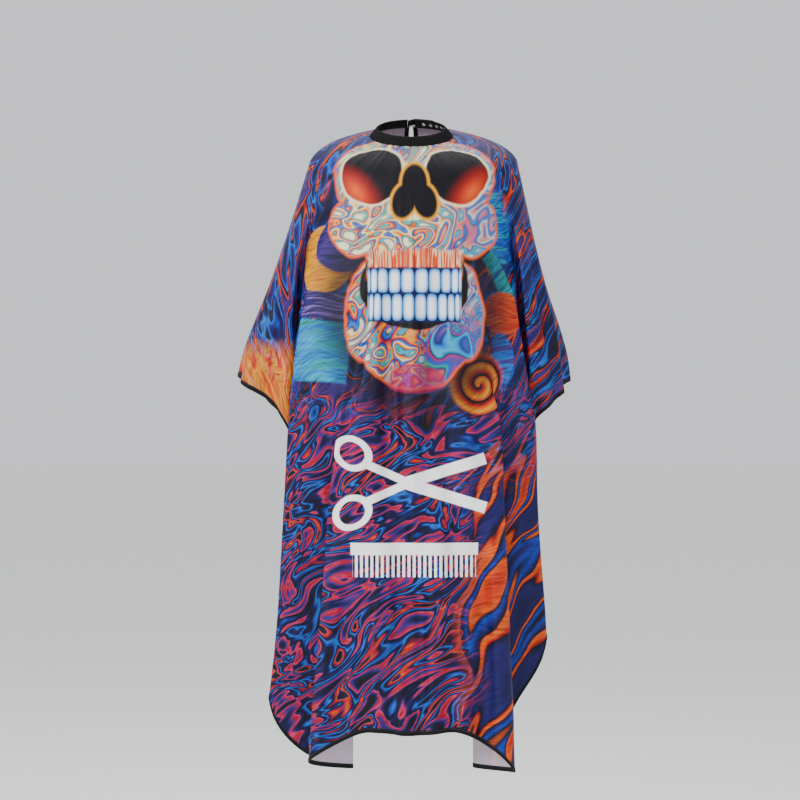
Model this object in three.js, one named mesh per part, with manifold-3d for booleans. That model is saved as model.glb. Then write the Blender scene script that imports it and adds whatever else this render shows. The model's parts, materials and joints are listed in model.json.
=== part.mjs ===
// A barber cape, closed at the nape by press studs and hanging as it does on a body.
// Millimetres, +Z up, the wearer faces -Y. The origin is the centre of the neckband's ring.
import * as THREE from "three";
import { mergeVertices } from "three/addons/utils/BufferGeometryUtils.js";
import Module from "manifold-3d";

const wasm = await Module();
wasm.setup();

// Driving dimensions. Angles are in degrees round the neck, 0 at the throat and 180 at the nape.
const NECK = {
  tilt: 20.5, // the band lies lower at the throat than at the nape
  height: 16, // along the ring's own axis
  topX: 70, // half width and half depth of the band's top edge
  topY: 66,
  lowX: 83, // the same of its bottom edge, which flares on to the shoulders
  lowY: 73,
  half: 1.5, // half the finished band's thickness
  pocket: 0.9, // half the room inside the folded casing
  crease: 1.4, // the casing's thickness along its folded top edge
  end: 174, // where each end of the band stops
};
const FIT = 0.3; // room between pieces that touch
const CLOTH = { half: 0.6, top: -2.6, fold: -8.6 }; // the cloth starts and leaves at these heights in the band
const BINDING = { width: 8, half: 1.5, slot: 0.9, web: 1.5 };
const TAB = { from: 185.2, to: 141.5, half: 1, lift: 5.3, climb: 12, rounding: 5 };
const SNAP = {
  sides: 10,
  shank: 1.1,
  shankHole: 1.5,
  headRadius: 1.9,
  holeRadius: 2.7,
  outside: 0.05, // between a flat disc and the bulging face it sits on
  inside: 0.25, // and the hollow one
};
const STUD_PLACES = [160, 148, 136, 124, 112];
const CLOSED_ON = 2; // the tab closes on the first of them

// The outline's half width, middle, reach to the front and reach to the back, at each depth below the neck
const OUTLINE = [
  [60, 212, 5, 118, 102],
  [180, 246, -1, 136, 118],
  [300, 278, -6, 146, 130],
  [400, 306, -11, 151, 137],
  [500, 332, -16, 155, 142],
  [600, 298, -9, 158, 146],
  [720, 284, -4, 161, 148],
  [850, 286, -3, 163, 150],
  [1110, 318, -6, 168, 152],
  [1300, 336, -2, 172, 154],
];
// Height of the hem at each angle from the front
const HEM = [
  [0, -1208],
  [20, -1222],
  [38, -1298],
  [50, -1238],
  [58, -1130],
  [66, -960],
  [74, -780],
  [82, -630],
  [90, -530],
  [100, -494],
  [115, -530],
  [136, -590],
  [156, -430],
  [180, -262],
];
const SHOULDER = { height: -62, drop: 52, share: 0.2, rise: 7 }; // where the yoke ends and the drape starts
const CENTRE_TO = 24; // each panel ends where the next one starts
const FRONT_TO = 66;
const SIDE_TO = 108;
const REAR_TO = 150;
const BACK_TO = 178.6; // the back edges stand here below the band
const FLAP_FROM = 0.3; // share of the way to the hem where the moving part of the back starts
const GRID = 6; // degrees between the columns of every piece
const SEAM = 0.25; // degrees left open at each side of a panel

const rad = (degrees) => (degrees * Math.PI) / 180;
const lerp = (a, b, t) => a + (b - a) * t;
const clamp = (t) => Math.min(1, Math.max(0, t));
const smooth = (t) => clamp(t) ** 2 * (3 - 2 * clamp(t));
const steps = (count) => Array.from({ length: count + 1 }, (_, i) => i / count);

function curveOf(table, column) {
  const curve = new THREE.CubicInterpolant(table.map((row) => row[0]), table.map((row) => row[column]), 1);
  return (x) => curve.evaluate(x)[0];
}

const halfWidth = curveOf(OUTLINE, 1);
const middle = curveOf(OUTLINE, 2);
const toFront = curveOf(OUTLINE, 3);
const toBack = curveOf(OUTLINE, 4);
const hemAt = curveOf(HEM, 1);

// A point of the neckband's middle surface. Height runs along the ring's axis from its middle.
function bandMiddle(angle, height) {
  const t = 0.5 - height / NECK.height;
  const x = lerp(NECK.topX, NECK.lowX, t) * Math.sin(rad(angle));
  const y = -lerp(NECK.topY, NECK.lowY, t) * Math.cos(rad(angle));
  return new THREE.Vector3(x, y, height).applyAxisAngle(new THREE.Vector3(1, 0, 0), rad(NECK.tilt));
}

// A point of the drape where the angle's meridian crosses a height.
function drape(angle, z) {
  const sine = Math.sin(rad(angle));
  const cosine = Math.cos(rad(angle));
  const depth = cosine > 0 ? toFront(-z) : toBack(-z);
  return new THREE.Vector3(halfWidth(-z) * sine + middle(-z) * Math.abs(sine), -depth * cosine, z);
}

// A point of the cape's middle surface. Share 0 is the top edge inside the band and 1 the hem.
function capeMiddle(angle, share) {
  const inBand = 0.03;
  if (share < inBand) return bandMiddle(angle, lerp(CLOTH.top, CLOTH.fold, share / inBand));
  const reach = (Math.abs(angle) - REAR_TO) / (NECK.end - REAR_TO);
  const opened = reach > 0 ? reach * (BACK_TO - NECK.end) * smooth((share - inBand) / 0.2) : 0;
  const turned = angle + Math.sign(angle) * opened;
  const shoulderZ = SHOULDER.height - SHOULDER.drop * Math.cos(rad(turned));
  if (share > SHOULDER.share) {
    const down = (share - SHOULDER.share) / (1 - SHOULDER.share);
    return drape(turned, lerp(shoulderZ, hemAt(Math.abs(turned)), down));
  }
  const t = (share - inBand) / (SHOULDER.share - inBand);
  const start = bandMiddle(turned, CLOTH.fold);
  const end = drape(turned, shoulderZ);
  const knee = start.clone().lerp(end, 0.55).add(new THREE.Vector3(0, 0, SHOULDER.rise));
  start.multiplyScalar((1 - t) ** 2);
  return start.addScaledVector(knee, 2 * t * (1 - t)).addScaledVector(end, t * t);
}

// Gives a surface a third coordinate: the distance out along its own normal.
function thickened(surface, stepU, stepV) {
  return (u, v, out) => {
    const round = surface(u + stepU, v).sub(surface(u - stepU, v));
    const up = surface(u, v + stepV).sub(surface(u, v - stepV));
    return surface(u, v).addScaledVector(round.cross(up).normalize(), out);
  };
}

const band = thickened(bandMiddle, 0.5, 0.5);
const cape = thickened(capeMiddle, 0.5, -0.002);

// The closing tab leaves the band's left end and climbs on to the outside of its right end.
function tab(angle, height, out) {
  return band(angle, height, out + TAB.lift * smooth((TAB.from - angle) / TAB.climb));
}

function volumeOf(points, index) {
  let sum = 0;
  for (let i = 0; i < index.length; i += 3) {
    sum += points[index[i]].dot(points[index[i + 1]].clone().cross(points[index[i + 2]]));
  }
  return sum / 6;
}

// Triangles that fill a profile and turn the way it runs. A sheet's two faces are joined row by row.
function capOf(profile) {
  const last = profile.length - 1;
  if (profile.every(([v], i) => v === profile[last - i][0])) {
    return steps((last - 3) / 2).flatMap((_, i) => [
      [i, i + 1, last - 1 - i],
      [i, last - 1 - i, last - i],
    ]);
  }
  const flat = profile.map(([v, out]) => new THREE.Vector2(v, out));
  const turned = THREE.ShapeUtils.isClockWise(flat);
  return THREE.ShapeUtils.triangulateShape(flat, []).map(([a, b, c]) => (turned ? [a, c, b] : [a, b, c]));
}

// Sweeps a closed profile of [v, out] points along a surface.
function sweep(surface, us, profile) {
  const count = profile.length;
  const points = us.flatMap((u) => profile.map(([v, out]) => surface(u, v, out)));
  const index = [];
  for (let i = 0; i < us.length - 1; i += 1) {
    for (let j = 0; j < count; j += 1) {
      const k = (j + 1) % count;
      const [here, next] = [i * count + j, i * count + k];
      // both faces of a thin wall are cut along the same diagonal, so they never cross
      if (profile[k][0] < profile[j][0]) {
        index.push(here, next, here + count, next, next + count, here + count);
      } else {
        index.push(here, next, next + count, here, next + count, here + count);
      }
    }
  }
  const last = (us.length - 1) * count;
  for (const [a, b, c] of capOf(profile)) index.push(a, c, b, last + a, last + b, last + c);
  if (volumeOf(points, index) < 0) index.reverse();
  const geometry = new THREE.BufferGeometry().setFromPoints(points);
  geometry.setIndex(index);
  geometry.computeVertexNormals();
  return geometry;
}

function solidOf(geometry) {
  const bare = new THREE.BufferGeometry().setAttribute("position", geometry.getAttribute("position"));
  if (geometry.index) bare.setIndex(geometry.index);
  const merged = mergeVertices(bare, 1e-4);
  const mesh = new wasm.Mesh({
    numProp: 3,
    vertProperties: merged.getAttribute("position").array,
    triVerts: new Uint32Array(merged.index.array),
  });
  return new wasm.Manifold(mesh);
}

function subtract(geometry, tools) {
  const solid = tools.reduce((rest, tool) => rest.subtract(solidOf(tool)), solidOf(geometry));
  const mesh = solid.getMesh();
  const result = new THREE.BufferGeometry();
  result.setAttribute("position", new THREE.BufferAttribute(mesh.vertProperties, 3));
  result.setIndex(new THREE.BufferAttribute(mesh.triVerts, 1));
  result.computeVertexNormals();
  return result;
}

const look = (color, roughness, metalness = 0) => () =>
  new THREE.MeshStandardMaterial({ color, roughness, metalness });
const printedCloth = look(0x34357a, 0.5);
const blackTape = look(0x121214, 0.7);
const ribbedTape = look(0x17171a, 0.85);
const elasticTape = look(0xe6e4de, 0.8);
const steel = look(0xb9bbbe, 0.3, 1);

const group = new THREE.Group();

function add(name, geometry, material, place) {
  const mesh = new THREE.Mesh(geometry, material());
  mesh.name = name;
  if (place) mesh.applyMatrix4(place);
  group.add(mesh);
}

// Angles on the grid that all the pieces share, so that touching pieces keep their distance
function columns(from, to) {
  const list = [from];
  for (let a = Math.ceil((from + 0.5) / GRID) * GRID; a < to - 0.5; a += GRID) list.push(a);
  return [...list, to];
}

const rectangle = (low, high, half) => [
  [low, half],
  [low, -half],
  [high, -half],
  [high, half],
];

// A folded tape: a rectangle with a slot that opens at its first edge
function folded(open, closed, half, slot, web) {
  const end = closed - Math.sign(closed - open) * web;
  return [
    [open, half],
    [open, slot],
    [end, slot],
    [end, -slot],
    [open, -slot],
    [open, -half],
    [closed, -half],
    [closed, half],
  ];
}

// The frame of a press stud: its Z axis points out of the surface.
function snapPlace(surface, angle, out) {
  const at = surface(angle, 0, out);
  const normal = surface(angle, 0, out + 1).sub(at).normalize();
  const turn = new THREE.Quaternion().setFromUnitVectors(new THREE.Vector3(0, 0, 1), normal);
  return new THREE.Matrix4().compose(at, turn, new THREE.Vector3(1, 1, 1));
}

function lathe(points) {
  const profile = points.map(([radius, height]) => new THREE.Vector2(radius, height));
  const solid = new THREE.LatheGeometry(profile, SNAP.sides).rotateX(Math.PI / 2);
  const bare = new THREE.BufferGeometry().setAttribute("position", solid.getAttribute("position"));
  return mergeVertices(bare.setIndex(solid.index), 1e-4);
}

function shankHole(surface, angle) {
  const tool = new THREE.CylinderGeometry(SNAP.shankHole, SNAP.shankHole, 12, SNAP.sides);
  return tool.rotateX(Math.PI / 2).applyMatrix4(snapPlace(surface, angle, 0));
}

// Neckband: a tape folded over the elastic, and the cape's top edge comes up into it from below.
function addNeckband() {
  const half = NECK.height / 2;
  const holes = STUD_PLACES.map((angle) => shankHole(band, angle));
  const fold = folded(-half, half, NECK.half, NECK.pocket, NECK.crease);
  const casing = sweep(band, columns(-NECK.end, NECK.end), fold);
  const room = half - NECK.crease - FIT;
  const strip = rectangle(CLOTH.top + FIT, room, NECK.pocket - FIT);
  const elastic = sweep(band, columns(1 - NECK.end, NECK.end - 1), strip);
  add("neckband_casing", subtract(casing, holes), ribbedTape);
  add("neckband_elastic", subtract(elastic, holes), elasticTape);
}

// Studs stand on the band's right end, and each is held by a post that comes through from inside.
function addStuds() {
  const face = NECK.half + SNAP.outside;
  const inner = NECK.half + SNAP.inside;
  const stud = lathe([
    [0, 0],
    [4.6, 0],
    [4.4, 0.5],
    [SNAP.headRadius - 0.3, 0.7],
    [SNAP.headRadius, 1.3],
    [SNAP.headRadius - 0.5, 1.8],
    [0, 1.8],
  ]);
  const post = lathe([
    [0, -0.9],
    [3.4, -0.9],
    [4.2, 0],
    [SNAP.shank, 0],
    [SNAP.shank, face + inner - FIT],
    [0, face + inner - FIT],
  ]);
  STUD_PLACES.forEach((angle, i) => {
    add(`snap_stud_${i + 1}`, stud.clone(), steel, snapPlace(band, angle, face));
    add(`snap_post_${i + 1}`, post.clone(), steel, snapPlace(band, angle, -inner));
  });
}

// Tab: a tape round an interlining, with a cap outside and a socket inside at each place.
function addTab() {
  const half = NECK.height / 2 - 0.5;
  const places = STUD_PLACES.slice(0, CLOSED_ON);
  const holes = places.map((angle) => shankHole(tab, angle));
  const shaped = (angle, height, out) => {
    const past = clamp((TAB.to + TAB.rounding - angle) / TAB.rounding);
    return tab(angle, height * Math.sqrt(1 - (0.8 * past) ** 2), out);
  };
  const tip = [0, 0.8, 1.8, 3.2].map((d) => TAB.to + d);
  const start = TAB.to + TAB.rounding;
  const whole = sweep(shaped, [...tip, ...columns(start, TAB.from)], rectangle(-half, half, TAB.half));
  const room = sweep(tab, columns(start + 1, TAB.from - 1.5), rectangle(1.2 - half, half - 1.2, 0.5));
  const lining = sweep(tab, columns(start + 1.4, TAB.from - 1.9), rectangle(1.5 - half, half - 1.5, 0.2));
  add("tab_casing", subtract(whole, [room, ...holes]), ribbedTape);
  add("tab_interlining", subtract(lining, holes), elasticTape);
  const face = TAB.half + SNAP.outside;
  const inner = TAB.half + SNAP.inside;
  const cap = lathe([
    [0, 0],
    [5.5, 0],
    [5.3, 0.6],
    [3.6, 1.1],
    [0, 1.25],
  ]);
  const socket = lathe([
    [0, -0.3],
    [SNAP.holeRadius, -0.3],
    [SNAP.holeRadius, -1.45],
    [4.4, -1.45],
    [5, -0.8],
    [5, 0],
    [SNAP.shank, 0],
    [SNAP.shank, face + inner - FIT],
    [0, face + inner - FIT],
  ]);
  places.forEach((angle, i) => {
    add(`snap_cap_${i + 1}`, cap.clone(), steel, snapPlace(tab, angle, face));
    add(`snap_socket_${i + 1}`, socket.clone(), steel, snapPlace(tab, angle, -inner));
  });
}

// Millimetres as a share of a meridian at the hem, and as degrees at a share
const shareOf = (mm, angle) => (0.01 * mm) / capeMiddle(angle, 1).distanceTo(capeMiddle(angle, 0.99));
const mmPerDegree = (angle, share) => capeMiddle(angle, share).distanceTo(capeMiddle(angle - 1, share));
const degreesOf = (mm, angle, share) => mm / mmPerDegree(angle, share);

// The hem's surface: v is 0 at the cape's edge and counts down to it, as the cloth's rows do.
const hemSurface = (angle, v, out) => cape(angle, 1 + shareOf(v, angle), out);
const edgeTape = folded(-BINDING.width, 0, BINDING.half, BINDING.slot, BINDING.web);
const underTape = [BINDING.width, BINDING.web + FIT]; // the last two rows, measured up from the hem

// Cloth whose rows run from one share to the hem, with a row where the binding starts
function clothToHem(from) {
  return (angle, v, out) => {
    const [top, end] = underTape.map((mm) => 1 - shareOf(mm, angle));
    return cape(angle, v < 1 ? lerp(from, top, v) : lerp(top, end, v - 1), out);
  };
}

const sheetProfile = (rows) => [
  ...rows.map((v) => [v, CLOTH.half]),
  ...[...rows].reverse().map((v) => [v, -CLOTH.half]),
];

function addPanel(name, from, to) {
  const us = columns(from + SEAM, to - SEAM);
  if (from + to < 0) us.reverse(); // the left side mirrors the right
  const rows = [0, 0.03, 0.08, 0.14, 0.2, 0.3, 0.41, 0.5, 0.62, 0.78, 1, 2];
  add(name, sweep(clothToHem(0), us, sheetProfile(rows)), printedCloth);
  add(`${name}_binding`, sweep(hemSurface, us, edgeTape), blackTape);
}

// The back: a fixed yoke under the band, and below it the part that swings out. Tapes butt against the cloth.
function addBack(side, sign) {
  const hinge = 1.2; // degrees left open beside the hinge line
  const tape = rectangle(0, BINDING.width - FIT, BINDING.half);
  const covered = (share) => BINDING.width * smooth((share - 0.03) / 0.02);
  const edge = (share) => NECK.end - 0.2 - degreesOf(covered(share), NECK.end, share);
  const parts = steps(4);
  const yoke = (u, share, out) => cape(sign * lerp(REAR_TO + SEAM, edge(share), u), share, out);
  const yokeRows = [0, 0.03, 0.05, 0.08, 0.11, 0.14, 0.17, 0.2, 0.25, FLAP_FROM - 0.004];
  add(`${side}_back_yoke`, sweep(yoke, parts, sheetProfile(yokeRows)), printedCloth);
  const shareAt = (angle, v) => lerp(FLAP_FROM, 1 - shareOf(BINDING.width, angle), v);
  const flap = (u, v, out) => {
    const angle = lerp(REAR_TO + hinge, edge(lerp(FLAP_FROM, 1, v)), u);
    return cape(sign * angle, shareAt(angle, v), out);
  };
  const flapRows = steps(6);
  add(`${side}_back_flap`, sweep(flap, parts, sheetProfile(flapRows)), printedCloth);
  const hem = (u, v, out) => hemSurface(sign * lerp(REAR_TO + hinge, edge(1) - 0.2, u), -v, out);
  add(`${side}_back_flap_binding`, sweep(hem, parts, tape), blackTape);
  const down = (share, v, out) => cape(sign * (NECK.end - degreesOf(v, NECK.end, share)), share, out);
  add(`${side}_back_yoke_edge`, sweep(down, yokeRows.slice(2), tape), blackTape);
  add(`${side}_back_flap_edge`, sweep(down, flapRows.map((v) => lerp(FLAP_FROM, 1, v)), tape), blackTape);
}

addNeckband();
addStuds();
addTab();
addPanel("centre_front", -CENTRE_TO, CENTRE_TO);
for (const [side, sign] of [["left", -1], ["right", 1]]) {
  const stretches = [["front", CENTRE_TO, FRONT_TO], ["side", FRONT_TO, SIDE_TO], ["rear", SIDE_TO, REAR_TO]];
  for (const [place, from, to] of stretches) {
    const ends = [sign * from, sign * to].sort((a, b) => a - b);
    addPanel(`${side}_${place}`, ...ends);
  }
  addBack(side, sign);
}

export default group;
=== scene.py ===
import json
import math

import bmesh
import bpy
import numpy as np
from mathutils import Matrix, Vector


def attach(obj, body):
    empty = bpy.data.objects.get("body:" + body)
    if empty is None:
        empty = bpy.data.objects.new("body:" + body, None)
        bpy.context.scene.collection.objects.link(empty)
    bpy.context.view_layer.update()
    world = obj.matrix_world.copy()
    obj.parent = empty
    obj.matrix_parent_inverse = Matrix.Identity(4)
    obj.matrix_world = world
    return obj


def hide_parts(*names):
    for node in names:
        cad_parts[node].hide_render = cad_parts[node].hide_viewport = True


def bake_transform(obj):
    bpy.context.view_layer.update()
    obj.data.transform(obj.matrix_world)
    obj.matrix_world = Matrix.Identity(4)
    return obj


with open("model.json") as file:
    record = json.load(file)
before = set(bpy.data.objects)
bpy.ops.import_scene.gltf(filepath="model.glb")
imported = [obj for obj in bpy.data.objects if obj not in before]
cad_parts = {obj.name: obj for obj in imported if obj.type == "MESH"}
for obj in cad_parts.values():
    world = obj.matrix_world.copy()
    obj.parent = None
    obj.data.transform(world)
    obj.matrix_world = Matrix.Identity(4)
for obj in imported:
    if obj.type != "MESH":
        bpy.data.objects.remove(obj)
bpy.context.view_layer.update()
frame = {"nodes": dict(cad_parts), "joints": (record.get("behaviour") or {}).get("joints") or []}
print("frame loaded")


def smooth(t):
    t = np.clip(t, 0.0, 1.0)
    return t * t * (3 - 2 * t)


def bump(x, middle, reach):  # 1 at the middle, falling to nothing within about two reaches
    return np.exp(-(((x - middle) / reach) ** 2))


def throughPoints(places, values, at):  # a curve through points that never overshoots them
    x, y = np.asarray(places, float), np.asarray(values, float)
    step = np.diff(x)
    rise = np.diff(y, axis=0) / step.reshape(-1, *[1] * (y.ndim - 1))
    lean = np.zeros_like(y)
    same = rise[1:] * rise[:-1] > 0
    wider, narrower = 2 * step[1:] + step[:-1], step[1:] + 2 * step[:-1]
    shape = (-1, *[1] * (y.ndim - 1))
    a, b = np.where(same, rise[:-1], 1), np.where(same, rise[1:], 1)
    middle = (wider + narrower).reshape(shape) / (wider.reshape(shape) / a + narrower.reshape(shape) / b)
    lean[1:-1] = np.where(same, middle, 0)
    lean[0], lean[-1] = rise[0], rise[-1]
    at = np.clip(np.asarray(at, float), x[0], x[-1])
    k = np.clip(np.searchsorted(x, at) - 1, 0, len(x) - 2)
    t = ((at - x[k]) / step[k]).reshape(*at.shape, *[1] * (y.ndim - 1))
    h = step[k].reshape(t.shape)
    return (
        (1 + 2 * t) * (1 - t) ** 2 * y[k]
        + t * (1 - t) ** 2 * h * lean[k]
        + t * t * (3 - 2 * t) * y[k + 1]
        + t * t * (t - 1) * h * lean[k + 1]
    )


# The neckband's ring, in metres: it lies lower at the throat and flares on to the shoulders.
neck = {
    "tilt": math.radians(20.5),
    "height": 0.016,
    "top": (0.070, 0.066),  # half widths at its upper edge
    "low": (0.083, 0.073),
    "end": 174,  # degrees from the throat to each end of the band
    "lift": 0.35,  # how far a point rises for each metre that it stands out
    "radius": 0.078,  # its mean, for the length of a pattern round it
}


def bandPoint(angle, height, out=0.0):
    share = 0.5 - height / neck["height"]
    halfX = neck["top"][0] + (neck["low"][0] - neck["top"][0]) * share + out
    halfY = neck["top"][1] + (neck["low"][1] - neck["top"][1]) * share + out
    x, y = halfX * np.sin(angle), -halfY * np.cos(angle)
    lift = height + neck["lift"] * out
    turn = neck["tilt"]
    behind = y * math.cos(turn) - lift * math.sin(turn)
    above = y * math.sin(turn) + lift * math.cos(turn)
    return np.stack([x, behind, above], -1)


# How the cloth hangs. Each column runs from the neck to the hem: its place across the cloth, the angle in
# degrees where it leaves the neck, the height of its hem, and how many mm aside and forward it stands at
# each level.
levels = [-0.30, -0.50, -0.60, -0.74, -1.0, -1.3]
leftColumns = [
    (0.09, 5, -1.206, [(35, 145), (52, 153), (60, 156), (70, 158), (80, 161), (85, 167)]),
    (0.165, 10, -1.236, [(68, 141), (100, 148), (115, 151), (130, 153), (150, 156), (165, 161)]),
    (0.205, 13, -1.268, [(88, 138), (127, 141), (145, 141), (165, 139), (182, 138), (208, 140)]),
    (0.29, 18, -1.286, [(116, 129), (157, 120), (157, 108), (146, 96), (116, 88), (118, 86)]),
    (0.39, 26, -1.262, [(160, 114), (202, 104), (206, 94), (204, 84), (196, 76), (206, 74)]),
    (0.48, 36, -1.148, [(206, 92), (243, 78), (251, 74), (258, 68), (274, 60), (297, 56)]),
    (0.58, 48, -0.86, [(222, 50), (222, 26), (218, 24), (205, 22), (175, 18), (160, 18)]),
    (0.69, 62, -0.582, [(238, 76), (262, 68), (262, 62), (258, 56), (250, 50), (250, 50)]),
    (0.81, 80, -0.512, [(276, 40), (336, 36), (345, 34), (350, 30), (350, 30), (350, 30)]),
    (0.90, 98, -0.496, [(283, -16), (348, -20), (352, -20), (352, -20), (352, -20), (352, -20)]),
    (1.04, 120, -0.54, [(244, -94), (300, -106), (305, -108), (305, -108), (305, -108), (305, -108)]),
    (1.16, 136, -0.588, [(196, -112), (238, -124), (250, -128), (250, -128), (250, -128), (250, -128)]),
]
rightColumns = [
    (0.09, 5, -1.206, [(36, 145), (56, 153), (64, 156), (72, 158), (82, 161), (86, 167)]),
    (0.165, 10, -1.244, [(74, 141), (116, 147), (134, 149), (146, 152), (160, 155), (168, 160)]),
    (0.205, 13, -1.288, [(98, 138), (150, 139), (178, 137), (184, 137), (193, 138), (206, 140)]),
    (0.29, 18, -1.284, [(126, 128), (168, 118), (158, 104), (142, 94), (128, 86), (124, 84)]),
    (0.39, 26, -1.152, [(162, 112), (202, 102), (208, 92), (212, 82), (214, 74), (214, 72)]),
    (0.48, 36, -1.026, [(200, 92), (232, 78), (248, 74), (256, 68), (268, 60), (284, 56)]),
    (0.58, 48, -0.80, [(212, 50), (212, 26), (210, 24), (200, 22), (175, 18), (160, 18)]),
    (0.69, 62, -0.598, [(226, 76), (243, 68), (247, 62), (250, 56), (250, 50), (250, 50)]),
    (0.81, 80, -0.528, [(262, 40), (305, 36), (312, 34), (314, 30), (314, 30), (314, 30)]),
    (0.90, 98, -0.500, [(270, -16), (316, -20), (320, -20), (320, -20), (320, -20), (320, -20)]),
    (1.04, 120, -0.54, [(236, -94), (276, -106), (280, -108), (280, -108), (280, -108), (280, -108)]),
    (1.16, 136, -0.588, [(190, -112), (222, -124), (232, -128), (232, -128), (232, -128), (232, -128)]),
]
middleColumn = (0, 0, -1.212, [(0, 146), (0, 154), (0, 157), (0, 160), (0, 163), (0, 170)])
hingeColumn = {"across": 1.29, "angle": 150, "hem": -0.47}
backEdge = {  # as above, but with the mm aside at two levels, and the mm behind
    "levels": (-0.5, -0.3),
    "columns": [(1.40, 165, -0.352, (90, 75), 127), (1.50, 178.4, -0.266, (8, 8), 131)],
}
shoulder = {"height": -0.062, "drop": 0.052, "wide": 0.212, "middle": 0.005, "front": 0.118, "back": 0.102}


def hingeLine(body, height):  # where a back flap's hinge line stands at a height, in metres
    joint = next(j for j in frame["joints"] if j["child"] == body)
    place, axis = joint["pos_m"], joint["axis"]
    t = (height - place[2]) / axis[2]
    return place[0] + t * axis[0], place[1] + t * axis[1]


def columnRow(column, sign=1):
    place, angle, hem, stands = column
    return [place, angle, hem, *[v / 1000 for aside, forward in stands for v in (sign * aside, -forward)]]


def sideTable(columns, body, sign):
    rows = [columnRow(column, sign) for column in columns]
    rows.append([*hingeColumn.values(), *[v for height in levels for v in hingeLine(body, height)]])
    for place, angle, hem, asides, behind in backEdge["columns"]:
        along = np.interp(levels, backEdge["levels"], asides)
        rows.append([place, angle, hem, *[v / 1000 for aside in along for v in (sign * aside, behind)]])
    table = np.array(rows)
    table[:, 0] *= sign
    table[:, 1] *= sign
    return table


leftTable, rightTable = sideTable(leftColumns, "left_back", -1), sideTable(rightColumns, "right_back", 1)
drape = np.vstack([leftTable[::-1], columnRow(middleColumn), rightTable])


def shoulderPoint(angle):
    depth = np.where(np.cos(angle) > 0, shoulder["front"], shoulder["back"])
    x = shoulder["wide"] * np.sin(angle) + shoulder["middle"] * np.abs(np.sin(angle))
    return np.stack([x, -depth * np.cos(angle), shoulder["height"] - shoulder["drop"] * np.cos(angle)], -1)


cloth = {
    "thickness": 0.0005,
    "yokeRows": 40,  # from the band to the shoulder
    "drapeRows": 118,  # from there to the hem
    "rowSpread": 1.15,  # over 1, the yoke's rows crowd towards the band
    "inBand": -0.003,  # height in the band where the cloth starts
    "leavesBand": -0.0086,
    "lead": 0.4,  # share of the way to the shoulder on which the cloth leaves the band straight
    "roll": 0.004,  # how far it rises there
    "knee": 0.028,  # the shoulder's rounding
    "printClimb": 0.86,  # how far the print runs up the yoke for each metre of cloth
    "frontColumns": (0.636, 171),  # half its width, and how many
    "sideColumns": 56,
    "backColumns": (1.5, 17),
    "calmHinge": (0.05, -0.04, 0.03),  # creases fade beside the hinge line: width, top, run
    "sleeveFrom": (0.55, 0.1),  # where the sleeve's print starts, and how gently
    "seed": 7,
}
draws = np.random.default_rng(cloth["seed"])
yokeEnd = cloth["yokeRows"] + 1


def clothSurface(across):  # the cloth before its creases, as points by row and column
    found = throughPoints(drape[:, 0], drape[:, 1:], across)
    angle, hem = np.radians(found[:, 0]), found[:, 1]
    stands = found[:, 2:].reshape(len(across), len(levels), 2)
    top = shoulderPoint(angle)
    points = np.zeros((yokeEnd + cloth["drapeRows"] + 1, len(across), 3))
    points[0] = bandPoint(angle, cloth["inBand"])
    start = bandPoint(angle, cloth["leavesBand"])
    t = np.linspace(0, 1, cloth["yokeRows"] + 1)[:, None, None] ** cloth["rowSpread"]
    up = top - np.concatenate([stands[:, 0], np.full((len(across), 1), levels[0])], -1)
    up /= np.linalg.norm(up, axis=-1, keepdims=True)
    knee = top + up * cloth["knee"]
    lead = start + (knee - start) * cloth["lead"] + np.array([0, 0, cloth["roll"]])
    points[1 : yokeEnd + 1] = (
        start * (1 - t) ** 3 + 3 * lead * t * (1 - t) ** 2 + 3 * knee * t * t * (1 - t) + top * t**3
    )
    down = np.linspace(0, 1, cloth["drapeRows"] + 1)[1:]
    for j in range(len(across)):
        heights = [-top[j, 2], *[-level for level in levels]]
        places = np.vstack([top[j, :2], stands[j]])
        z = top[j, 2] + (hem[j] - top[j, 2]) * down
        points[yokeEnd + 1 :, j, :2] = throughPoints(heights, places, -z)
        points[yokeEnd + 1 :, j, 2] = z
    return points


def printPlaces(points, across):  # metres across from the front's middle, and metres up
    middle = np.argmin(np.abs(across))
    steps = np.linalg.norm(np.diff(points[:, :, :2], axis=1), axis=-1)
    run = np.concatenate([np.zeros((len(points), 1)), np.cumsum(steps, axis=1)], 1)
    run -= run[:, middle : middle + 1]
    climb = np.linalg.norm(np.diff(points[: yokeEnd + 1], axis=0), axis=-1)
    height = points[:, :, 2].copy()
    height[:yokeEnd] = height[yokeEnd] + cloth["printClimb"] * np.cumsum(climb[::-1], axis=0)[::-1]
    return run, height


def alongNormal(points):
    sideways = np.gradient(points, axis=1)
    downwards = np.gradient(points, axis=0)
    normal = np.cross(downwards, sideways)
    return normal / np.maximum(np.linalg.norm(normal, axis=-1, keepdims=True), 1e-9)


creasing = {
    "folds": [  # place across, half width, depth, height of its top, length over which it deepens
        (0.002, 0.007, 0.004, -0.12, 0.1),
        (-0.150, 0.018, -0.012, -0.72, 0.3),
        (0.148, 0.018, -0.012, -0.62, 0.35),
        (0.088, 0.024, -0.012, -0.75, 0.35),
    ],
    "ledge": ((-0.026, 0.009), (-0.035, 0.08), (-0.85, 0.3), 0.010),  # its sides, its top and its depth
    "waves": [(0.11, 1.3, 0.0052), (0.065, 0.9, 0.0028), (0.16, 0.7, 0.0042)],  # width, height, depth
    "ofEach": 3,
    "turn": 6.28,
    "lean": 0.12,  # metres across for each metre down
    "stretch": (0.8, 1.25),  # of a wave's width
    "sway": 0.8,
    "top": (-0.10, 0.5),
    "most": 0.011,
    "sideFold": ((0.17, 0.05), (0.44, 0.1)),  # where the layer turned inwards starts and ends
    "calm": 0.92,  # share of the waves that it loses
}


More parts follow.
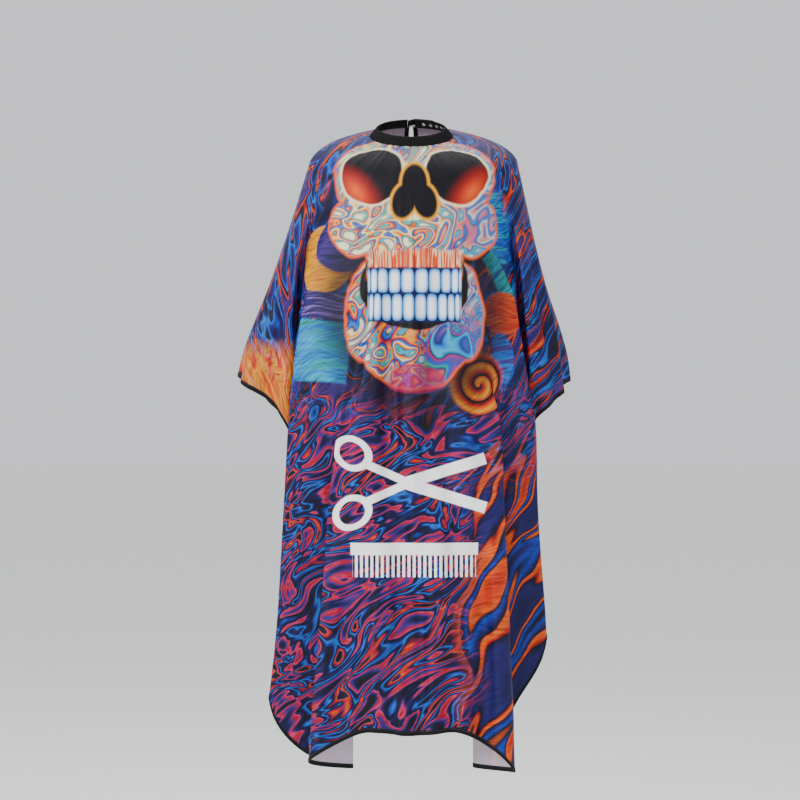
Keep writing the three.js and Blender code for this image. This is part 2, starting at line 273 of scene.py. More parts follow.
def creases(points, across):
    z = points[:, :, 2]
    a = np.broadcast_to(across, z.shape)
    out = np.zeros_like(z)
    for place, reach, depth, top, run in creasing["folds"]:
        out += depth * bump(a, place, reach) * smooth((top - z) / run)
    (near, nearRun), (far, farRun), (top, run), depth = creasing["ledge"]
    step = smooth((near - a) / nearRun) * (1 - smooth((far - a) / farRun))
    out -= depth * step * smooth((top - z) / run)
    waves = np.zeros_like(z)
    top, run = creasing["top"]
    full = creasing["turn"]
    for wide, tall, depth in creasing["waves"]:
        for _ in range(creasing["ofEach"]):
            turn = draws.uniform(0, full)
            lean = draws.uniform(-creasing["lean"], creasing["lean"])
            reach = draws.uniform(*creasing["stretch"])
            sway = creasing["sway"] * np.sin(z / tall * full + turn)
            wave = np.sin((a + lean * z) / (wide * reach) * full + sway + turn)
            waves += depth * wave * smooth((top - z) / run)
    (start, rise), (end, fall) = creasing["sideFold"]
    inFold = smooth((np.abs(a) - start) / rise) * (1 - smooth((np.abs(a) - end) / fall))
    return out + np.clip(waves, -creasing["most"], creasing["most"]) * (1 - creasing["calm"] * inFold)


pleats = {
    "count": 62,
    "stray": 0.28,  # share of a pleat
    "length": (0.022, 0.085),
    "strength": (0.5, 1.0),
    "depth": 0.0026,
    "width": 0.036,  # radians round the neck
    "start": (0.004, 0.008),
}


def gathers(points, angle):  # short pleats where the wide neck edge is sewn to the band
    away = np.zeros(points.shape[:2])
    away[1:] = np.cumsum(np.linalg.norm(np.diff(points, axis=0), axis=-1), axis=0)
    out = np.zeros(points.shape[:2])
    count, (start, rise) = pleats["count"], pleats["start"]
    strays = draws.uniform(-pleats["stray"], pleats["stray"], count)
    places = (np.arange(count) + strays) / count * 2 * math.pi - math.pi
    reach = draws.uniform(*pleats["length"], count)
    depth = draws.uniform(*pleats["strength"], count) * pleats["depth"]
    for place, far, deep in zip(places, reach, depth):
        gap = np.abs((angle - place + math.pi) % (2 * math.pi) - math.pi)
        ridge = deep * np.exp(-((gap[None, :] / pleats["width"]) ** 2))
        out += ridge * smooth((away - start) / rise) * np.exp(-away / far)
    return out


def gridMesh(name, points, marks, tube=False):  # a sheet over rows and columns of points; marks stay on it
    rows, columns = points.shape[:2]
    bm = bmesh.new()
    bmesh.ops.create_grid(bm, x_segments=columns - 1, y_segments=rows - 1, size=1)
    layers = {mark: bm.verts.layers.float_vector.new(mark) for mark in marks}
    for v in bm.verts:
        j = round((v.co.x + 1) / 2 * (columns - 1))
        i = round((1 - v.co.y) / 2 * (rows - 1))
        v.co = points[i, j]
        for mark, layer in layers.items():
            v[layer] = marks[mark][i, j]
    if tube:  # the last column lies on the first
        bmesh.ops.remove_doubles(bm, verts=bm.verts, dist=1e-6)
        bmesh.ops.holes_fill(bm, edges=bm.edges)
        bmesh.ops.recalc_face_normals(bm, faces=bm.faces)
    return meshObject(name, bm)


def meshObject(name, bm):
    mesh = bpy.data.meshes.new(name)
    bm.to_mesh(mesh)
    bm.free()
    obj = bpy.data.objects.new(name, mesh)
    bpy.context.scene.collection.objects.link(obj)
    mesh.shade_smooth()
    return obj


frontHalf, frontCount = cloth["frontColumns"]
end, backCount = cloth["backColumns"]
hinge = hingeColumn["across"]
toHinge = np.linspace(frontHalf, hinge, cloth["sideColumns"])
toEdge = np.linspace(hinge, end, backCount)[1:]
overFront = np.linspace(-frontHalf, frontHalf, frontCount)
across = np.concatenate([-toEdge[::-1], -toHinge[:0:-1], overFront, toHinge[1:], toEdge])
angles = np.radians(throughPoints(drape[:, 0], drape[:, 1], across))
surface = clothSurface(across)
relief = creases(surface, across) + gathers(surface, angles)
calmWidth, calmTop, calmRun = cloth["calmHinge"]
relief *= 1 - bump(np.abs(across), hinge, calmWidth) * smooth((calmTop - surface[:, :, 2]) / calmRun)
final = surface + alongNormal(surface) * relief[..., None]
run, height = printPlaces(surface, across)
sleeveStart, sleeveRun = cloth["sleeveFrom"]
sleeve = np.sign(across) * smooth((np.abs(across) - sleeveStart) / sleeveRun)
marks = np.stack([run, height, np.broadcast_to(sleeve, run.shape)], -1)
parts = {
    "leftBackCloth": slice(0, len(toEdge) + 1),
    "capeCloth": slice(len(toEdge), len(across) - len(toEdge)),
    "rightBackCloth": slice(len(across) - len(toEdge) - 1, len(across)),
}
cloths = {name: gridMesh(name, final[:, kept], {"print": marks[:, kept]}) for name, kept in parts.items()}
print("cloth hung", {name: len(obj.data.vertices) for name, obj in cloths.items()})


# Folded tape over the hem and down the back edges.
tape = {
    "profile": [(-1.0, 0.0), (-0.7, 0.7), (0.5, 1.1), (4, 1.0), (8.2, 0.95), (8.6, 0.6)],  # mm up and out
    "rowsUp": 3,  # it leans along the cloth's last rows
    "columnsIn": 2,
    "edgeRows": (4, 2),  # the first row below the band, and every second one
}


def closedSection(half):  # a half profile in mm and its mirror image, closed, in metres
    return np.array([*half, *[(v, -out) for v, out in half[::-1] if out], half[0]]) / 1000


def tapeAlong(name, path, up):
    section = closedSection(tape["profile"])
    path, up = np.array(path), np.array(up)
    up /= np.linalg.norm(up, axis=-1, keepdims=True)
    forward = np.gradient(path, axis=0)
    out = np.cross(forward, up)
    out /= np.linalg.norm(out, axis=-1, keepdims=True)
    points = path[:, None] + up[:, None] * section[None, :, :1] + out[:, None] * section[None, :, 1:]
    along = np.concatenate([[0], np.cumsum(np.linalg.norm(np.diff(path, axis=0), axis=-1))])
    sewn = np.zeros(points.shape)
    sewn[:, :, 0] = along[:, None]
    sewn[:, :, 1] = section[None, :, 0]
    return gridMesh(name, points, {"tape": sewn}, tube=True)


def hemRun(kept):
    columns = range(kept.start, kept.stop)
    above = -1 - tape["rowsUp"]
    return [final[-1, j] for j in columns], [final[above, j] - final[-1, j] for j in columns]


def edgeRun(column, inner):  # down a back edge, from below the band
    first, every = tape["edgeRows"]
    rows = range(first, len(final) - 1, every)
    return [final[i, column] for i in rows], [final[i, inner] - final[i, column] for i in rows]


bindings = {"hemBinding": tapeAlong("hemBinding", *hemRun(parts["capeCloth"]))}
last = len(across) - 1
for side, column, inner in (("left", 0, tape["columnsIn"]), ("right", last, last - tape["columnsIn"])):
    hem = hemRun(parts[f"{side}BackCloth"])
    if side == "right":
        hem = [points[::-1] for points in hem]
    edge = edgeRun(column, inner)
    hem[1][0] = hem[1][0] / np.linalg.norm(hem[1][0]) + edge[1][-1] / np.linalg.norm(edge[1][-1])  # mitre
    name = f"{side}BackBinding"
    bindings[name] = tapeAlong(name, edge[0] + hem[0], edge[1] + hem[1])
print("edges bound")


# Neckband: ribbed tape with a scalloped top edge.
ribs = {
    "profile": [(-10, 1.2), (-9.4, 1.6), (-3, 1.75), (3, 1.75), (8.0, 1.5), (8.8, 0.8)],  # mm up and out
    "count": 190,
    "steps": 6,
    "deep": 0.00035,
    "scallop": 0.0011,
    "edge": 0.0085,  # above it lies the scalloped edge
}


def addNeckband():
    section = closedSection(ribs["profile"])
    angle = np.radians(np.linspace(-neck["end"], neck["end"], ribs["count"] * ribs["steps"] + 1))
    rib = np.cos(np.arange(len(angle)) / ribs["steps"] * 2 * math.pi)
    points = np.zeros((len(angle), len(section), 3))
    for j, (up, out) in enumerate(section):
        high = up + ribs["scallop"] * (0.5 + 0.5 * rib) * (up > ribs["edge"])
        points[:, j] = bandPoint(angle, high, out + np.sign(out) * ribs["deep"] * rib * (up < ribs["edge"]))
    marks = np.zeros(points.shape)
    marks[:, :, 0] = (angle * neck["radius"])[:, None]
    marks[:, :, 1] = section[None, :, 0]
    return gridMesh("neckband", points, {"tape": marks}, tube=True)


# The tab at the nape laps over the band's end; angles are in degrees and its section in mm.
tab = {
    "from": 185.2,
    "to": 141.5,
    "lift": 0.0053,
    "climb": 12,
    "half": 7.5,
    "thick": 1.05,
    "crown": 0.05,
    "rim": (0.4, 0.3),  # how far in its rounded edge reaches, and the edge's half thickness
    "steps": 90,
    "tip": (5, 0.85),  # the rounded end's length, and how much it narrows
}


def tabPoint(angle, height, out=0.0):
    lapped = smooth((tab["from"] - np.degrees(angle)) / tab["climb"])
    return bandPoint(angle, height, out + tab["lift"] * lapped)


def addTab():
    high, thick = tab["half"], tab["thick"]
    rim, edge = tab["rim"]
    flat = [(rim - high, thick), (0, thick + tab["crown"]), (high - rim, thick)]
    section = closedSection([(-high, edge), *flat, (high, edge)])
    degrees = np.linspace(tab["to"], tab["from"], tab["steps"])
    tip, narrowing = tab["tip"]
    inTip = np.clip((tab["to"] + tip - degrees) / tip, 0, 1)
    narrow = np.sqrt(np.clip(1 - (narrowing * inTip) ** 2, 0, 1))
    points = np.zeros((len(degrees), len(section), 3))
    for j, (up, out) in enumerate(section):
        points[:, j] = tabPoint(np.radians(degrees), up * narrow, out)
    marks = np.zeros(points.shape)
    marks[:, :, 0] = (np.radians(degrees) * neck["radius"])[:, None]
    marks[:, :, 1] = high / 1000 - np.abs(section[None, :, 0])
    return gridMesh("closingTab", points, {"tape": marks}, tube=True)


neckband, closingTab = addNeckband(), addTab()

# Press studs, turned from half profiles in mm: distance from the axis, height.
snaps = {
    "steps": 40,
    "studAngles": [160, 148, 136, 124, 112],
    "tabAngles": [160, 148],
    "stud": [
        (0, 0), (4.6, 0), (4.7, 0.2), (4.3, 0.5), (2.0, 0.6), (1.6, 0.8), (1.9, 1.3), (1.7, 1.65), (1.2, 1.8),
        (0, 1.8),
    ],
    "post": [(0, -0.9), (3.2, -0.9), (4.0, -0.5), (4.2, -0.1), (4.1, 0), (1.1, 0), (1.1, 3.0), (0, 3.0)],
    "cap": [
        (0, 0), (5.4, 0), (5.5, 0.25), (5.2, 0.6), (4.9, 0.62), (4.6, 0.8), (3.2, 1.12), (1.4, 1.24),
        (0, 1.25),
    ],
    "socket": [
        (0, -0.3), (2.5, -0.3), (2.6, -1.3), (2.9, -1.5), (4.3, -1.45), (4.9, -0.9), (5.0, 0), (1.1, 0),
        (1.1, 2.0), (0, 2.0),
    ],
    "standsOut": {"stud": 0.00155, "post": -0.00175, "cap": 0.00105, "socket": -0.00125},  # metres
}


def snapAt(shape, i, place, angle):  # place is the function of the tape that it is pressed through
    bm = bmesh.new()
    ring = [bm.verts.new((r / 1000, 0, h / 1000)) for r, h in snaps[shape]]
    edges = [bm.edges.new(pair) for pair in zip(ring, ring[1:])]
    turned = {"cent": (0, 0, 0), "axis": (0, 0, 1), "angle": 2 * math.pi, "steps": snaps["steps"]}
    bmesh.ops.spin(bm, geom=ring + edges, use_merge=True, **turned)
    bmesh.ops.remove_doubles(bm, verts=bm.verts, dist=1e-7)
    bmesh.ops.recalc_face_normals(bm, faces=bm.faces)
    a, out = math.radians(angle), snaps["standsOut"][shape]
    sideways = Vector(place(a + 0.01, 0.0, out)) - Vector(place(a - 0.01, 0.0, out))
    upwards = Vector(place(a, 0.001, out)) - Vector(place(a, -0.001, out))
    normal = sideways.cross(upwards).normalized()
    turn = Vector((0, 0, 1)).rotation_difference(normal).to_matrix().to_4x4()
    bmesh.ops.transform(bm, matrix=Matrix.Translation(Vector(place(a, 0.0, out))) @ turn, verts=bm.verts)
    return meshObject(f"{shape}{i}", bm)


studs, sockets = {}, {}
for i, angle in enumerate(snaps["studAngles"], 1):
    for shape in ("stud", "post"):
        studs[f"snap_{shape}_{i}"] = snapAt(shape, i, bandPoint, angle)
for i, angle in enumerate(snaps["tabAngles"], 1):
    for shape in ("cap", "socket"):
        sockets[f"snap_{shape}_{i}"] = snapAt(shape, i, tabPoint, angle)
print("band, tab and studs made")


# Materials
ink = {
    "night": "#08060f",
    "navy": "#0d1046",
    "indigo": "#1b165e",
    "blue": "#1437a4",
    "sky": "#0d72c6",
    "cyan": "#1ba2c2",
    "teal": "#0f8d6c",
    "magenta": "#9c0f4c",
    "red": "#bc120a",
    "orange": "#df560c",
    "yellow": "#eb9f16",
    "cream": "#ebdfb6",
    "violet": "#44287e",
    "lilac": "#8a6ab8",
    "pink": "#c93468",
    "enamel": "#f6f8fc",
    "enamelEdge": "#3f8fd6",
    "white": "#fbfbfd",
}


def linear(code):  # an ink's name or an sRGB hex value
    code = ink.get(code, code)
    parts = [int(code[i : i + 2], 16) / 255 for i in (1, 3, 5)]
    return (*[p / 12.92 if p <= 0.04045 else ((p + 0.055) / 1.055) ** 2.4 for p in parts], 1)


def node(tree, kind, inputs=(), out=0, stops=(), **settings):  # returns one output of the new node
    made = tree.nodes.new("ShaderNode" + kind)
    for name, value in settings.items():
        setattr(made, name, value)
    for key, value in inputs.items() if isinstance(inputs, dict) else enumerate(inputs):
        if isinstance(value, bpy.types.NodeSocket):
            tree.links.new(value, made.inputs[key])
        else:
            made.inputs[key].default_value = value
    if stops:
        ramp = made.color_ramp.elements
        ramp.remove(ramp[1])
        ramp[0].position, ramp[0].color = stops[0][0], linear(stops[0][1])
        for place, code in stops[1:]:
            ramp.new(place).color = linear(code)
    return made.outputs[out]


def newMaterial(name, settings):
    made = bpy.data.materials.new(name)
    made.use_nodes = True
    shader = made.node_tree.nodes["Principled BSDF"]
    for key, value in settings.items():
        shader.inputs[key].default_value = value
    return made, made.node_tree, shader


def within(tree, at, shape, place, edge=0.003):  # 1 inside a shape at x, y, with its half sizes and turn
    x, y, wide, tall, turn = place
    isRound = shape == "round"
    scale = (wide, tall, 1) if isRound else (1, 1, 1)
    rim, soft = (1.0, edge / min(wide, tall)) if isRound else (0.0, edge)
    near = node(tree, "Mapping", [at, (x, y, 0), (0, 0, math.radians(turn)), scale], vector_type="TEXTURE")
    if isRound:
        far = node(tree, "VectorMath", [near], out=1, operation="LENGTH")
    else:
        apart = node(tree, "VectorMath", [near], operation="ABSOLUTE")
        past = node(tree, "VectorMath", [apart, (wide, tall, 0)], operation="SUBTRACT")
        pastSide, pastTop = [node(tree, "SeparateXYZ", [past], out=i) for i in range(2)]
        far = node(tree, "Math", [pastSide, pastTop], operation="MAXIMUM")
    return node(tree, "MapRange", [far, rim + soft, rim - soft], interpolation_type="SMOOTHSTEP")


def combined(tree, operation, first, *others):  # several masks made one
    for other in others:
        first = node(tree, "Math", [first, other], operation=operation, use_clamp=True)
    return first


def painted(tree, under, *layers):  # colours laid one over another, each where its mask is 1
    under = linear(under) if isinstance(under, str) else under
    for over, mask in layers:
        over = linear(over) if isinstance(over, str) else over
        under = node(tree, "MixRGB", [mask, under, over])
    return under


def strokes(tree, at, size, turn, stops, twist=1.4, detail=1.6):  # long strokes of paint, size in metres
    turned = [at, (0, 0, 0), (0, 0, math.radians(turn)), (*size, 1)]
    near = node(tree, "Mapping", turned, vector_type="TEXTURE")
    field = node(tree, "TexNoise", {"Vector": near, "Scale": 1.0, "Detail": detail, "Distortion": twist})
    spread = node(tree, "MapRange", [field, 0.28, 0.72])
    return node(tree, "ValToRGB", [spread], stops=stops)


# The print's shapes, in metres across from the middle and up from the neck's centre: x, y, half sizes, turn.
skull = {
    "middle": 0.006,
    "stray": (26.0, 0.014),  # its outline wanders: how finely, and how far
    "bone": [(0, -0.092, 0.166, 0.128, 0), (0.13, -0.205, 0.042, 0.056, -24), (0, -0.24, 0.098, 0.088, 0)],
    "jaw": [(0.052, -0.385, 0.086, 0.100, -10), (0, -0.44, 0.100, 0.084, 0), (0.098, -0.37, 0.040, 0.094, 4)],
    "mouth": (0, -0.318, 0.110, 0.090, 0),
    "rim": 0.005,
    "shadow": ((0, -0.36, 0.195, 0.225, 0), 0.04, 0.82),  # place, soft edge, strength
    "lowHalf": (-0.30, -0.42),
    "rightHalf": (0.0, 0.03, 0.15, 1.0),
    "brow": (-0.30, -0.12, 0.0, 0.12),
    "cheek": (0.02, 0.14, 0.0, 0.40),
    "eye": (0.087, -0.090, 0.066, 0.063, -28),
    "glow": ((0.118, -0.128, 0.042, 0.022, 48), 0.026, 4.0),  # place, soft edge, how small its core is
    "nose": [(0.021, -0.148, 0.024, 0.036, 14), (0, -0.116, 0.026, 0.042, 0)],
    "gums": ((0, -0.276, 0.092, 0.030, 0), 0.006),
    "chin": ((0, -0.505, 0.060, 0.030, 0), 0.7),
    "teeth": [(-0.309, 0.0255, 0.29), (-0.3615, 0.0275, 0.25)],  # height, half height, radians for a tooth
    "arch": 0.096,
    "row": (0.965, 0.002),  # share of the arch that the teeth fill, and the gap above and below them
    "toothShape": (3.0, 4.0),
    "toothEdge": (0.98, 0.78),
    "toothShade": (0.0, 0.6),
}
warmSwirls = {
    "size": (0.105, 0.070),
    "turn": 40,
    "twist": 2.6,
    "detail": 0.3,
    "stops": [
        (0.0, "cream"), (0.10, "teal"), (0.17, "cyan"), (0.22, "night"), (0.25, "orange"), (0.33, "yellow"),
        (0.40, "cream"), (0.47, "night"), (0.50, "sky"), (0.56, "blue"), (0.60, "night"), (0.63, "red"),
        (0.70, "orange"), (0.76, "yellow"), (0.80, "night"), (0.84, "cyan"), (0.92, "teal"), (1.0, "cream"),
    ],
}
coolSwirls = {
    "size": (0.085, 0.110),
    "turn": -30,
    "twist": 2.4,
    "detail": 0.3,
    "stops": [
        (0.0, "violet"), (0.10, "navy"), (0.18, "sky"), (0.28, "cyan"), (0.36, "night"), (0.42, "magenta"),
        (0.50, "violet"), (0.58, "blue"), (0.66, "teal"), (0.72, "navy"), (0.80, "orange"), (0.88, "red"),
        (1.0, "sky"),
    ],
}
gumStrokes = {
    "size": (0.012, 0.2),
    "turn": 0,
    "stops": [(0, "red"), (0.35, "orange"), (0.5, "cream"), (0.65, "orange"), (1, "magenta")],
}
grounds = {
    "lower": {
        "size": (0.170, 0.062),
        "turn": 30,
        "twist": 2.2,
        "detail": 1.2,
        "stops": [
            (0.0, "night"), (0.16, "navy"), (0.25, "violet"), (0.29, "magenta"), (0.34, "red"),
            (0.38, "pink"), (0.41, "indigo"), (0.48, "night"), (0.55, "navy"), (0.59, "blue"),
            (0.64, "sky"), (0.67, "indigo"), (0.74, "night"), (0.80, "magenta"), (0.84, "red"),
            (0.88, "orange"), (0.90, "navy"), (1.0, "night"),
        ],
    },
    "stripes": {
        "size": (0.070, 0.34),
        "turn": -22,
        "twist": 1.0,
        "detail": 0.4,
        "stops": [
            (0.0, "navy"), (0.28, "indigo"), (0.40, "night"), (0.44, "red"), (0.49, "orange"),
            (0.57, "orange"), (0.60, "night"), (0.68, "indigo"), (0.78, "blue"), (0.84, "night"),
            (0.88, "orange"), (1.0, "red"),
        ],
    },
    "upper": {
        "size": (0.20, 0.075),
        "turn": 58,
        "twist": 1.8,
        "detail": 1.2,
        "stops": [
            (0.0, "night"), (0.20, "navy"), (0.34, "indigo"), (0.42, "blue"), (0.48, "sky"),
            (0.52, "navy"), (0.60, "night"), (0.67, "red"), (0.72, "orange"), (0.76, "navy"),
            (0.90, "violet"), (1.0, "indigo"),
        ],
    },
    "gold": {
        "size": (0.10, 0.014),
        "turn": 58,
        "stops": [(0, "red"), (0.3, "orange"), (0.6, "yellow"), (1, "orange")],
    },
}
grounds["sleeve"] = {**grounds["upper"], "size": (0.22, 0.060), "turn": 66, "twist": 1.6}
zones = {  # metres between which one ground gives way to the next
    "lower": (-0.50, -0.60),
    "stripesSide": (0.13, 0.20),
    "stripesTop": (-0.58, -0.74),
    "goldTop": (-0.42, -0.46),
    "goldSleeve": (-0.5, -0.9, 0.0, 0.9),  # share of the sleeve mask, and strength
}
bending = {"scale": 6.0, "far": 0.11, "patches": 0.35}  # how the strokes wander, and the patches with them
patches = [  # shape, place, colours of its strokes
    ("round", (-0.190, -0.262, 0.066, 0.072, 0), ["orange", "yellow", "yellow", "orange"]),
    ("round", (-0.146, -0.232, 0.058, 0.056, 0), ["night", "violet", "indigo", "night"]),
    ("square", (-0.190, -0.360, 0.062, 0.029, -6), ["violet", "lilac", "indigo", "violet"]),
    ("square", (-0.192, -0.452, 0.060, 0.060, -4), ["cyan", "sky", "cyan", "teal"]),
    ("round", (0.192, -0.196, 0.044, 0.078, 0), ["sky", "blue", "cyan", "indigo"]),
    ("square", (0.186, -0.305, 0.016, 0.058, 34), ["teal", "cyan", "teal", "blue"]),
    ("round", (0.196, -0.372, 0.052, 0.042, 0), ["red", "orange", "red", "orange"]),
    ("round", (0.200, -0.470, 0.030, 0.060, 10), ["blue", "sky", "violet", "blue"]),
]
patchStrokes = {"size": (0.10, 0.012), "lean": 8, "twist": 0.8}
spiral = {
    "place": (0.137, -0.516, 0.062, 0.062, 0),
    "edge": 0.008,
    "rings": 2.2,
    "stops": [
        (0, "night"), (0.18, "red"), (0.35, "orange"), (0.6, "yellow"), (0.8, "orange"), (0.9, "night"),
    ],
}
brush = {
    "hair": (0.05, 0.004),
    "turn": 0.5,
    "stops": [(0.3, "#70707c"), (0.5, "#d8d8e0"), (0.7, "#ffffff")],
    "strength": 0.75,
}
emblem = {  # crossed scissors over a comb, in white
    "bars": [
        (0.062, -0.688, 0.090, 0.0115, 17), (0.062, -0.734, 0.090, 0.0115, -17),
        (-0.055, -0.733, 0.046, 0.008, 24), (-0.055, -0.689, 0.046, 0.008, -24),
        (0.006, -0.842, 0.128, 0.012, 0),
    ],
    "rings": [(-0.120, -0.652, 0.044, 0.034, -24), (-0.120, -0.770, 0.044, 0.034, 24)],
    "ringHole": 0.66,
    "comb": (0.006, -0.872, 0.124, 0.026, 0),
    "pitch": 0.0105,
    "gap": (0.20, 0.28),
    "edge": 0.0012,
}


def wider(place):  # the same shape with a rim round it
    x, y, wide, tall, turn = place
    return x, y, wide + skull["rim"], tall + skull["rim"], turn


def toothLayers(tree, half, aside, up):  # rows of teeth round an arch, which look narrower towards its ends
    layers = []
    filled, margin = skull["row"]
    for centre, tall, pitch in skull["teeth"]:
        share = node(tree, "Math", [aside, skull["arch"]], operation="DIVIDE")
        turned = node(tree, "Math", [share], operation="ARCSINE")
        count = node(tree, "Math", [turned, pitch], operation="DIVIDE")
        inTooth = node(tree, "Math", [count], operation="FRACT")
        fromMiddle = node(tree, "Math", [inTooth, 2.0, -1.0], operation="MULTIPLY_ADD")
        above = node(tree, "Math", [up, centre], operation="SUBTRACT")
        fromCentre = node(tree, "Math", [above, tall], operation="DIVIDE")
        powers = []
        for offset, power in zip((fromMiddle, fromCentre), skull["toothShape"]):
            size = node(tree, "Math", [offset], operation="ABSOLUTE")
            powers.append(node(tree, "Math", [size, power], operation="POWER"))
        far = node(tree, "Math", powers, operation="ADD")
        row = within(tree, half, "square", (0, centre, skull["arch"] * filled, tall + margin, 0))
        tooth = node(tree, "MapRange", [far, *skull["toothEdge"]], interpolation_type="SMOOTHSTEP")
        shade = node(tree, "MapRange", [far, *skull["toothShade"]])
        enamel = painted(tree, "enamel", ("enamelEdge", shade))
        layers += [("navy", row), (enamel, combined(tree, "MULTIPLY", row, tooth))]
    return layers


def swirledBone(tree, at, side, up):
    warm, cool = strokes(tree, at, **warmSwirls), strokes(tree, at, **coolSwirls)
    low = node(tree, "MapRange", [up, *skull["lowHalf"]])
    right = node(tree, "MapRange", [side, *skull["rightHalf"]])
    brow = node(tree, "MapRange", [up, *skull["brow"]])
    cheek = node(tree, "MapRange", [side, *skull["cheek"]])
    lowRight = combined(tree, "MULTIPLY", low, right)
    return painted(tree, warm, (cool, lowRight), ("cream", brow), ("sky", cheek))


def skullPaint(tree, ground, at):
    moved = node(tree, "VectorMath", [at, (skull["middle"], 0, 0)], operation="SUBTRACT")
    mirrored = node(tree, "VectorMath", [moved], operation="ABSOLUTE")
    aside = node(tree, "SeparateXYZ", [mirrored])
    side, up = [node(tree, "SeparateXYZ", [moved], out=i) for i in range(2)]
    half = node(tree, "CombineXYZ", [aside, up])
    fine, stray = skull["stray"]
    wobble = node(tree, "TexNoise", {"Vector": at, "Scale": fine, "Detail": 1.0}, out=1)
    bent = node(tree, "VectorMath", [wobble, (stray, stray, 0), half], operation="MULTIPLY_ADD")
    drawn = node(tree, "VectorMath", [bent, (stray / 2, stray / 2, 0)], operation="SUBTRACT")

    jaw = combined(tree, "MAXIMUM", *[within(tree, drawn, "round", place) for place in skull["jaw"]])
    mouth = within(tree, drawn, "round", skull["mouth"])
    plates = [within(tree, drawn, "round", place) for place in skull["bone"]]
    bone = combined(tree, "MAXIMUM", combined(tree, "SUBTRACT", jaw, mouth), *plates)
    rims = [within(tree, drawn, "round", wider(place)) for place in skull["bone"] + skull["jaw"]]
    place, edge, strength = skull["shadow"]
    shadow = within(tree, half, "round", place, edge)
    paint = painted(
        tree,
        ground,
        ("night", combined(tree, "MULTIPLY", shadow, strength)),
        ("orange", combined(tree, "SUBTRACT", combined(tree, "MAXIMUM", *rims), mouth)),
        ("night", combined(tree, "SUBTRACT", mouth, *plates)),
        (swirledBone(tree, at, side, up), bone),
    )

    place, strength = skull["chin"]
    chin = combined(tree, "MULTIPLY", within(tree, drawn, "round", place), strength)
    place, edge, core = skull["glow"]
    glow = within(tree, half, "round", place, edge)
    fire = painted(tree, "night", ("red", glow), ("orange", combined(tree, "POWER", glow, core)))
    noseRims = [within(tree, half, "round", wider(place)) for place in skull["nose"]]
    noses = [within(tree, half, "round", place) for place in skull["nose"]]
    place, edge = skull["gums"]
    return painted(
        tree,
        paint,
        ("magenta", chin),
        ("cream", within(tree, drawn, "round", wider(skull["eye"]))),
        (fire, within(tree, drawn, "round", skull["eye"])),
        ("yellow", combined(tree, "MAXIMUM", *noseRims)),
        ("night", combined(tree, "MAXIMUM", *noses)),
        (strokes(tree, half, **gumStrokes), within(tree, drawn, "square", place, edge)),
        *toothLayers(tree, half, aside, up),
    )


def emblemMask(tree, at):
    edge, hole = emblem["edge"], emblem["ringHole"]
    white = [within(tree, at, "square", place, edge) for place in emblem["bars"]]
    for x, y, wide, tall, turn in emblem["rings"]:
        ring = within(tree, at, "round", (x, y, wide, tall, turn), edge)
        inner = within(tree, at, "round", (x, y, wide * hole, tall * hole, turn), edge)
        white.append(combined(tree, "SUBTRACT", ring, inner))
    along = node(tree, "Math", [node(tree, "SeparateXYZ", [at]), emblem["pitch"]], operation="DIVIDE")
    gap = node(tree, "Math", [along, 0.5], operation="PINGPONG")
    tooth = node(tree, "MapRange", [gap, *emblem["gap"]])
    comb = combined(tree, "MULTIPLY", within(tree, at, "square", emblem["comb"], edge), tooth)
    return combined(tree, "MAXIMUM", comb, *white)


def groundPaint(tree, bent, up, sleeve, onSleeve):
    paints = {name: strokes(tree, bent, **ground) for name, ground in grounds.items()}
    lower = node(tree, "MapRange", [up, *zones["lower"]])
    rightward = node(tree, "MapRange", [node(tree, "SeparateXYZ", [bent]), *zones["stripesSide"]])
    downward = node(tree, "MapRange", [up, *zones["stripesTop"]])
    hem = node(tree, "MapRange", [up, *zones["goldTop"]])
    left = node(tree, "MapRange", [sleeve, *zones["goldSleeve"]])
    return painted(
        tree,
        paints["upper"],
        (paints["lower"], lower),
        (paints["stripes"], combined(tree, "MULTIPLY", rightward, downward)),
        (paints["sleeve"], onSleeve),
        (paints["gold"], combined(tree, "MULTIPLY", hem, left)),
    )


def spiralPaint(tree, at):
    x, y, wide, tall, _ = spiral["place"]
    near = node(tree, "Mapping", [at, (x, y, 0), (0, 0, 0), (wide, tall, 1)], vector_type="TEXTURE")
    side, up = [node(tree, "SeparateXYZ", [near], out=i) for i in range(2)]
    turn = node(tree, "Math", [up, side], operation="ARCTAN2")
    far = node(tree, "VectorMath", [near], out=1, operation="LENGTH")
    rings = node(tree, "Math", [far, spiral["rings"]], operation="MULTIPLY")
    wound = node(tree, "Math", [turn, 1 / (2 * math.pi), rings], operation="MULTIPLY_ADD")
    return node(tree, "ValToRGB", [node(tree, "Math", [wound], operation="FRACT")], stops=spiral["stops"])


